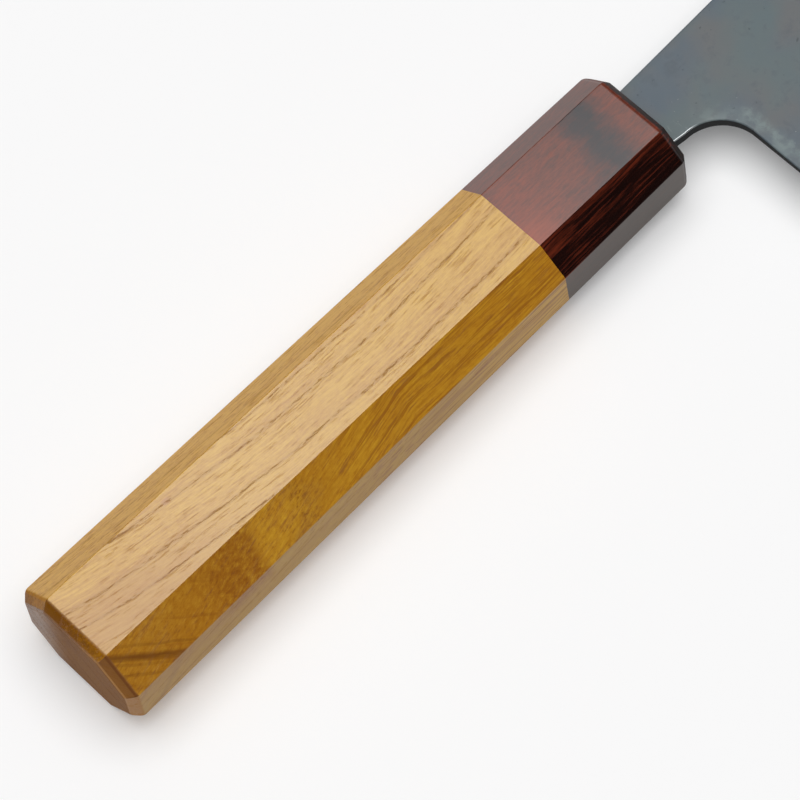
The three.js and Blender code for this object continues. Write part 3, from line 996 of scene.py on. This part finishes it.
# Blade
class BladeForm:
    """The rules that the blade's outline and thickness follow, from the knife's own zero."""

    def __init__(self, size):
        self.size = size
        self.heel = size.neck_length + size.choil_radius
        self.tip = self.heel + size.blade_length
        self.neck_low = size.spine_at_ferrule - size.neck_height
        self.choil_top = self.neck_low - size.neck_flare
        self.shoulder = -size.neck_depth
        self.tang_end = self.shoulder - size.tang_length
        self.slope = math.tan(size.pitch)
        self.base = size.core_thickness / 2
        flat_height = size.blade_height - size.bevel_height
        self.height_taper = (size.spine_thickness - size.bevel_thickness) / flat_height
        tip_drop = size.blade_height - size.tip_rise
        self.length_taper = size.spine_thickness - self.height_taper * tip_drop - size.tip_thickness
        self.length_taper = self.length_taper / size.blade_length

    def line(self, x):
        return self.size.spine_at_ferrule + x * self.slope

    def curve(self, x, reach):
        return max(0.0, (x - (self.tip - reach)) / reach) ** 2

    def spine(self, x):
        drop = self.size.blade_height - self.size.tip_rise - self.size.nose_height
        return self.line(x) - drop * self.curve(x, self.size.spine_curve)

    def edge(self, x):
        rise = self.size.tip_rise * self.curve(x, self.size.edge_curve)
        return self.line(x) - self.size.blade_height + rise

    def bevel(self, x):
        """Height of the line where the flat ends and the ground bevel starts."""
        height = self.size.bevel_height * (self.spine(x) - self.edge(x)) / self.size.blade_height
        return self.edge(x) + height

    def flat(self, x, y):
        """Half of the thickness that the flat has at a place, or would have."""
        whole = self.size.spine_thickness - self.height_taper * (self.line(x) - y)
        return (whole - self.length_taper * (x - self.heel)) / 2

    def half(self, x, y):
        """Half of the blade's thickness, the tang's behind the shoulder."""
        if x < self.shoulder - TOUCH:
            way = (self.shoulder - x) / self.size.tang_length
            return part_way(self.size.tang_thickness, self.size.tang_end_thickness, way) / 2
        low = self.bevel(x)
        if y >= low or x < self.heel - TOUCH:
            return self.flat(x, y)
        edge = self.size.edge_thickness / 2
        return edge + (self.flat(x, low) - edge) * (y - self.edge(x)) / (low - self.edge(x))

    def weld(self, x):
        """Height of the line where the cladding has run out on the ground bevel."""
        low = self.bevel(x)
        edge = self.size.edge_thickness / 2
        return self.edge(x) + (low - self.edge(x)) * (self.base - edge) / (self.flat(x, low) - edge)

    def keen(self, x, y):
        """Half of the core's thickness, with the sharpened strip along the edge."""
        half = min(self.base, self.half(x, y))
        if x < self.heel - TOUCH:
            return half
        gap = y - self.edge(x)
        if gap >= self.size.micro_bevel:
            return half
        behind = self.half(x, self.edge(x) + self.size.micro_bevel)
        keen = self.size.keen_thickness / 2
        return min(half, keen + (behind - keen) * gap / self.size.micro_bevel)

    def tang_half_height(self, x):
        way = (self.shoulder - x) / self.size.tang_length
        return part_way(self.size.tang_height, self.size.tang_end_height, way) / 2

    def outline(self, bottom, spacing):
        """Named stretches of points round the blade and tang, anticlockwise from the heel."""
        size = self.size
        behind = self.shoulder - 2 * TOUCH
        tang = self.tang_half_height(self.tang_end)
        root = self.tang_half_height(self.shoulder)
        radius = size.choil_radius
        centre_x, centre_y = size.neck_length, self.choil_top - radius
        arc = [math.pi / 2 * (1 - i / CHOIL_STEPS) for i in range(CHOIL_STEPS)]
        coarse = 6 * spacing

        def run(start, end, step):
            count = max(1, round(abs(end - start) / step))
            return [start + (end - start) * i / count for i in range(count)]

        def upright(x, start, end, step=spacing):
            return [(x, y) for y in run(start, end, step)]

        def lengthways(line, start, end, step=spacing):
            return [(x, line(x)) for x in run(start, end, step)]

        def neck(x):
            return self.neck_low - size.neck_flare * max(x, 0.0) / size.neck_length

        def tang_low(x):
            return -self.tang_half_height(x)

        def choil(turn):
            return centre_x + radius * math.cos(turn), centre_y + radius * math.sin(turn)

        return {
            "edge": lengthways(bottom, self.heel, self.tip),
            "nose": upright(self.tip, bottom(self.tip), self.spine(self.tip), spacing / 4),
            "spine": lengthways(self.spine, self.tip, self.shoulder),
            "upper shoulder": upright(self.shoulder, self.spine(self.shoulder), root)
            + [(self.shoulder, root)],
            "tang top": lengthways(self.tang_half_height, behind, self.tang_end, coarse),
            "tang end": [(self.tang_end, tang)],
            "tang bottom": lengthways(tang_low, self.tang_end, behind, coarse) + [(behind, -root)],
            "lower shoulder": upright(self.shoulder, -root, self.neck_low),
            "neck": lengthways(neck, self.shoulder, 0.0)
            + lengthways(neck, 0.0, size.neck_length, spacing / 2),
            "choil": [choil(turn) for turn in arc],
            "heel": upright(self.heel, centre_y, bottom(self.heel)),
        }


def distances(points, path):
    """Distance from each point to an open path."""
    points = np.asarray(points, float)[:, None, :2]
    start = np.asarray(path[:-1], float)[None]
    run = np.asarray(path[1:], float)[None] - start
    way = ((points - start) * run).sum(2) / np.maximum((run * run).sum(2), 1e-18)
    nearest = start + run * np.clip(way, 0, 1)[..., None]
    return np.sqrt(((points - nearest) ** 2).sum(2)).min(1)


def inside(points, loop):
    """Which points lie inside a closed loop."""
    x, y = np.asarray(points, float).T[:, :, None]
    first = np.asarray(loop, float)
    second = np.roll(first, -1, axis=0)
    spans = (first[:, 1] > y) != (second[:, 1] > y)
    rise = np.where(second[:, 1] == first[:, 1], 1e-12, second[:, 1] - first[:, 1])
    crossing = first[:, 0] + (y - first[:, 1]) * (second[:, 0] - first[:, 0]) / rise
    return (spans & (x < crossing)).sum(1) % 2 == 1


def inward_offsets(loop, radii):
    """Steps inwards from an anticlockwise loop's points by their radii, mitred at corners."""
    points = np.asarray(loop, float)
    ahead = np.roll(points, -1, axis=0) - points
    ahead /= np.linalg.norm(ahead, axis=1)[:, None]
    normals = np.stack([-ahead[:, 1], ahead[:, 0]], 1)
    both = normals + np.roll(normals, 1, axis=0)
    both /= np.linalg.norm(both, axis=1)[:, None]
    sharpest = 0.5
    mitre = np.maximum((both * normals).sum(1), sharpest)
    return both * (np.asarray(radii) / mitre)[:, None]


def triangles(loop, lines, step):
    """Triangles that fill a loop, with evenly spread points inside and fixed lines across it."""
    loop_array = np.asarray(loop, float)
    points = [tuple(p) for p in loop]
    edges = []
    for path in lines:
        start = len(points)
        points += path
        edges += [(start + i, start + i + 1) for i in range(len(path) - 1)]
    if step:
        low = loop_array.min(0)
        high = loop_array.max(0)
        spread = []
        row_gap = 0.866 * step
        clear = 0.55 * step
        rows = np.arange(low[1], high[1], row_gap)
        for number, y in enumerate(rows):
            shift = step / 2 if number % 2 else 0.0
            spread += [(x, y) for x in np.arange(low[0] + shift, high[0], step)]
        spread = np.asarray(spread)
        spread = spread[inside(spread, loop)]
        keep = distances(spread, list(loop) + [loop[0]]) > clear
        for path in lines:
            keep &= distances(spread, path) > clear
        points += [tuple(p) for p in spread[keep]]
    flat = [Vector(p) for p in points]
    inside_only, same_point = 1, 1e-9
    result = delaunay_2d_cdt(flat, edges, [list(range(len(loop)))], inside_only, same_point)
    return [tuple(v) for v in result[0]], [list(f) for f in result[2]]


def shell(name, loop, radii, top, bottom, lines, step, flat_back):
    """A closed plate over a loop, as an object: a top skin, eased edges, a wall and a back."""
    points = np.asarray(loop, float)
    unit = inward_offsets(loop, radii)
    turns = [math.pi / 2 * i / EASING_STEPS for i in range(EASING_STEPS + 1)]
    verts = []
    faces = []

    def ring(positions, heights):
        start = len(verts)
        verts.extend((p[0], p[1], h) for p, h in zip(positions, heights))
        return start

    rings = [ring(points, [bottom(*p) for p in points])]
    for turn in turns:
        moved = points + unit * (1 - math.cos(turn))
        heights = [top(*p) - r * (1 - math.sin(turn)) for p, r in zip(moved, radii)]
        rings.append(ring(moved, heights))
    count = len(loop)
    for lower, upper in zip(rings[:-1], rings[1:]):
        for i in range(count):
            j = (i + 1) % count
            faces.append((lower + i, lower + j, upper + j, upper + i))
    inner_loop = [tuple(p) for p in points + unit]
    skin, skin_faces = triangles(inner_loop, lines, step)
    start = ring(skin, [top(*p) for p in skin])
    faces += [tuple(start + i for i in f) for f in skin_faces]
    outer_loop = [tuple(p) for p in loop]
    back_lines, back_step = ([], 0) if flat_back else (lines, step)
    back, back_faces = triangles(outer_loop, back_lines, back_step)
    start = ring(back, [bottom(*p) for p in back])
    faces += [tuple(start + i for i in reversed(f)) for f in back_faces]
    mesh = bpy.data.meshes.new(name)
    mesh.from_pydata(verts, [], faces)
    close_seams(mesh)
    return new_object(name, mesh)


def close_seams(mesh):
    """Merges the points that rings and skins share, and drops the faces that this leaves flat."""
    work = bmesh.new()
    work.from_mesh(mesh)
    bmesh.ops.remove_doubles(work, verts=work.verts, dist=TOUCH / 20)
    bmesh.ops.dissolve_degenerate(work, edges=work.edges, dist=TOUCH / 50)
    work.to_mesh(mesh)
    work.free()


def store(mesh, name, values):
    layer = mesh.attributes.new(name, "FLOAT", "POINT")
    layer.data.foreach_set("value", np.asarray(values, np.float32))


def coordinates(mesh):
    flat = np.zeros(len(mesh.vertices) * 3)
    mesh.vertices.foreach_get("co", flat)
    return flat.reshape(-1, 3)


def heights_over(spots, line, start, behind):
    """How far points lie over a line along the blade. Those behind its start get a set value."""
    return np.array([y - line(x) if x > start else behind for x, y, _ in spots])


def ramp(values, start, reach):
    """0 up to start, and an even rise from there to 1."""
    return np.clip((values - start) / reach, 0, 1)


def settle(piece, upside_down):
    """Puts a blade layer where the knife's own zero is, turned over first for the left side."""
    if upside_down:
        piece.data.transform(Matrix.Diagonal((1, 1, -1, 1)))
        piece.data.flip_normals()
    piece.data.transform(Matrix.Translation(zero))


def make_cladding(context, name, left, finish):
    """One outer layer of the blade with its tang, eased edges and forging dents."""
    size = context.scene.knife_blade
    form = BladeForm(size)
    stretches = form.outline(form.weld, size.skin_step)
    loop = [p for path in stretches.values() for p in path]
    eased = {"spine": size.spine_ease, **dict.fromkeys(("neck", "choil", "heel"), size.choil_ease)}
    wanted = [eased.get(kind, 0.0) for kind, path in stretches.items() for _ in path]
    most_of_layer = 0.8
    room = [most_of_layer * (form.half(*p) - form.base) for p in loop]
    radii = [max(0.0, min(r, most)) for r, most in zip(wanted, room)]

    # The skin has points on the line where the bevel starts and on the step down to the tang.
    start = form.heel + size.choil_ease * 1.5
    before_tip = form.tip - 3 * MM
    bevel = [(x, form.bevel(x)) for x in np.linspace(start, before_tip, LINE_POINTS)]
    root = form.tang_half_height(form.shoulder) - 0.1 * MM
    shoulder = [(form.shoulder, y) for y in np.linspace(-root, root, SHOULDER_POINTS)]
    lines = [bevel, shoulder]
    piece = shell(name, loop, radii, form.half, lambda x, y: form.base, lines, size.skin_step, True)

    # Dents keep clear of rims and ground bevel. Neck and tang count as high above the bevel.
    spots = coordinates(piece.data)
    rim = distances(spots, stretches["neck"] + stretches["choil"] + stretches["heel"])
    spine = distances(spots, stretches["spine"])
    above = heights_over(spots, form.bevel, form.heel - MM, 20 * MM)
    outer = np.array(spots[:, 2] > form.base + 2 * TOUCH, float)
    clear = ramp(np.minimum(rim, spine), 0.4 * MM, 1.2 * MM)
    store(piece.data, "rim_gap", rim)
    store(piece.data, "above_bevel", above)
    store(piece.data, "forge_skin", outer * clear * ramp(above, 0, 2 * MM))
    settle(piece, left)
    other_side = 10
    seed = size.dent_seed + (other_side if left else 0)
    values = {"Depth": size.dent_depth, "Dent Size": size.dent_size, "Seed": seed}
    values["Material"] = finish
    geometry_modifier(piece, forge_tree(), values)
    bake(piece, finish)
    smooth(piece, FORGED_CREASE)
    return piece


def make_core(context, name, finish):
    """The hard middle layer, which comes out of the cladding along the sharpened edge."""
    size = context.scene.knife_blade
    form = BladeForm(size)
    stretches = form.outline(form.edge, size.skin_step)
    loop = [p for path in stretches.values() for p in path]

    # Both faces have points along the cladding's end and along the sharpened strip.
    xs = np.linspace(form.heel + 0.6 * MM, form.tip - 4 * MM, LINE_POINTS)
    weld = [(x, form.weld(x)) for x in xs]
    strip = [(x, form.edge(x) + size.micro_bevel) for x in xs]
    lines = [weld, strip]
    unrounded = [0.0] * len(loop)
    coarser = 1.6
    step = size.skin_step * coarser

    def underside(x, y):
        return -form.keen(x, y)

    piece = shell(name, loop, unrounded, form.keen, underside, lines, step, False)

    # Behind the heel there is no edge, so points there count as far away from it.
    spots = coordinates(piece.data)
    far_away = 1000 * MM
    store(piece.data, "edge_gap", heights_over(spots, form.edge, form.heel - MM, far_away))
    settle(piece, False)
    bake(piece, finish)
    smooth(piece, PLAIN_CREASE)
    return piece


def hand_over(piece, node):
    """The piece stands in for a CAD node, which is hidden, and rides with the knife."""
    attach(piece, BODY)
    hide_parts(node)


# Operators
class KNIFE_OT_handle_body(HandlePiece, bpy.types.Operator):
    """Makes the octagonal handle body of honey-coloured wood"""

    bl_idname = "knife.handle_body"
    bl_label = "Handle Body"

    def execute(self, context):
        handle = context.scene.knife_handle
        start = (zero.x - handle.handle_length, handle.butt_bevel, handle.butt_edge)
        end = (body_high.x, 0.0, 0.0)
        finish = honey_wood(context.scene.knife_woods)
        piece = self.make(context, "honey_handle_body", (start, end), handle.butt_lean, finish)
        hand_over(piece, "handle_body")
        return {"FINISHED"}


class KNIFE_OT_ferrule(HandlePiece, bpy.types.Operator):
    """Makes the octagonal ferrule of dark polished wood"""

    bl_idname = "knife.ferrule"
    bl_label = "Ferrule"

    def execute(self, context):
        handle = context.scene.knife_handle
        start = (ferrule_low.x, 0.0, 0.0)
        end = (ferrule_high.x, handle.front_bevel, handle.front_edge)
        finish = dark_wood(context.scene.knife_woods)
        piece = self.make(context, "dark_ferrule", (start, end), 0.0, finish)
        hand_over(piece, "ferrule")
        return {"FINISHED"}


class KNIFE_OT_claddings(bpy.types.Operator):
    """Makes the two forged outer layers of the blade"""

    bl_idname = "knife.claddings"
    bl_label = "Blade Claddings"

    def execute(self, context):
        finish = forged_iron(context.scene.knife_metals)
        for side in ("right", "left"):
            piece = make_cladding(context, f"forged_{side}_cladding", side == "left", finish)
            hand_over(piece, f"{side}_cladding")
        return {"FINISHED"}


class KNIFE_OT_core(bpy.types.Operator):
    """Makes the hard middle layer of the blade"""

    bl_idname = "knife.core"
    bl_label = "Blade Core"

    def execute(self, context):
        finish = ground_steel(context.scene.knife_metals)
        piece = make_core(context, "honed_core_steel", finish)
        hand_over(piece, "core_steel")
        return {"FINISHED"}


class KNIFE_OT_inner_pieces(bpy.types.Operator):
    """Gives the hidden dowel and tang bedding their finishes"""

    bl_idname = "knife.inner_pieces"
    bl_label = "Dowel and Bedding"

    def execute(self, context):
        finishes = {
            "ferrule_dowel": bare_wood(context.scene.knife_woods),
            "tang_bedding": set_resin(context.scene.knife_metals),
        }
        for node, finish in finishes.items():
            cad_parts[node].material_slots[0].material = finish
        return {"FINISHED"}


class KNIFE_OT_stage(bpy.types.Operator):
    """Sets up the floor, the light, the surroundings and the camera"""

    bl_idname = "knife.stage"
    bl_label = "Stage"

    def execute(self, context):
        stage = context.scene.knife_stage
        self.lay_floor(stage)
        self.hang_light(stage)
        self.fill_air(context.scene, stage)
        self.set_camera(context.scene, stage)
        context.scene.view_settings.view_transform = "Standard"
        return {"FINISHED"}

    def lay_floor(self, stage):
        reach = stage.floor_size / 2
        corners = [(-reach, -reach, 0), (reach, -reach, 0), (reach, reach, 0), (-reach, reach, 0)]
        mesh = bpy.data.meshes.new("studio_floor")
        mesh.from_pydata(corners, [], [(0, 1, 2, 3)])
        mesh.transform(Matrix.Translation((0, 0, cad_box[0].z - stage.floor_gap)))
        mesh.materials.append(studio_floor(stage))
        new_object("studio_floor", mesh)

    def hang_light(self, stage):
        lamp = bpy.data.lights.new("overhead_light", "SUN")
        lamp.energy = stage.key_strength
        lamp.angle = stage.key_angle
        made = new_object("overhead_light", lamp)
        turn = stage.key_turn
        towards = Vector((math.cos(turn), math.sin(turn), 0)) * math.cos(stage.key_height)
        towards.z = math.sin(stage.key_height)
        made.rotation_euler = towards.to_track_quat("Z", "Y").to_euler()

    def fill_air(self, scene, stage):
        """Surroundings that are palest overhead, and a pale backdrop that gives no light."""
        scene.world = bpy.data.worlds.new("studio_air")
        scene.world.use_nodes = True
        graph = Graph(scene.world.node_tree)
        height = graph.split(graph.node("ShaderNodeTexCoord", None, None, "Generated"))[2]
        overhead = graph.step(height, 0.5, 0.85)
        level = overhead * (stage.air_high - stage.air_low) + stage.air_low
        by_horizon = graph.step(height, 0.16, 0.1)
        level = graph.maths("MAXIMUM", level, graph.seen() * by_horizon * stage.backdrop)
        background = scene.world.node_tree.nodes["Background"]
        graph.join(level, background.inputs["Strength"])
        graph.join(WHITE, background.inputs["Color"])

    def set_camera(self, scene, stage):
        """The photograph's viewing angle: place, direction and roll fit the handle's edges."""
        turn = stage.camera_turn
        roll = stage.camera_roll
        forward = Vector((math.sin(turn), math.cos(turn), 0)) * math.cos(stage.camera_height)
        forward.z = -math.sin(stage.camera_height)
        level = forward.cross(Vector((0, 0, 1))).normalized()
        right = level * math.cos(roll) + forward.cross(level) * math.sin(roll)
        up = right.cross(forward)
        camera = new_object("photo_camera", bpy.data.cameras.new("photo_camera"))
        camera.data.lens = stage.lens
        camera.data.sensor_width = stage.sensor
        camera.data.clip_start = stage.clip_start
        pose = Matrix((right, up, -forward)).transposed().to_4x4()
        pose.translation = zero + stage.camera_place
        camera.matrix_world = pose
        scene.camera = camera


class KNIFE_PT_build(bpy.types.Panel):
    """Lists the steps that build the knife"""

    bl_label = "Santoku Knife"
    bl_space_type = "VIEW_3D"
    bl_region_type = "UI"
    bl_category = "Knife"

    def draw(self, context):
        for step in STEPS:
            self.layout.operator(step.bl_idname)
        for name in GROUPS:
            box = self.layout.box()
            group = getattr(context.scene, name)
            for setting in group.__annotations__:
                box.prop(group, setting)


STEPS = (
    KNIFE_OT_handle_body,
    KNIFE_OT_ferrule,
    KNIFE_OT_claddings,
    KNIFE_OT_core,
    KNIFE_OT_inner_pieces,
    KNIFE_OT_stage,
)
GROUPS = {
    "knife_handle": HandleSettings,
    "knife_bores": BoreSettings,
    "knife_blade": BladeSettings,
    "knife_woods": WoodSettings,
    "knife_metals": MetalSettings,
    "knife_stage": StageSettings,
}
CLASSES = (*GROUPS.values(), *STEPS, KNIFE_PT_build)


def register():
    for item in CLASSES:
        bpy.utils.register_class(item)
    for name, group in GROUPS.items():
        setattr(bpy.types.Scene, name, bpy.props.PointerProperty(type=group))


def unregister():
    for name in GROUPS:
        delattr(bpy.types.Scene, name)
    for item in reversed(CLASSES):
        bpy.utils.unregister_class(item)


def main():
    register()
    bpy.ops.knife.handle_body()
    bpy.ops.knife.ferrule()
    bpy.ops.knife.claddings()
    bpy.ops.knife.core()
    bpy.ops.knife.inner_pieces()
    bpy.ops.knife.stage()


if __name__ == "__main__":
    main()
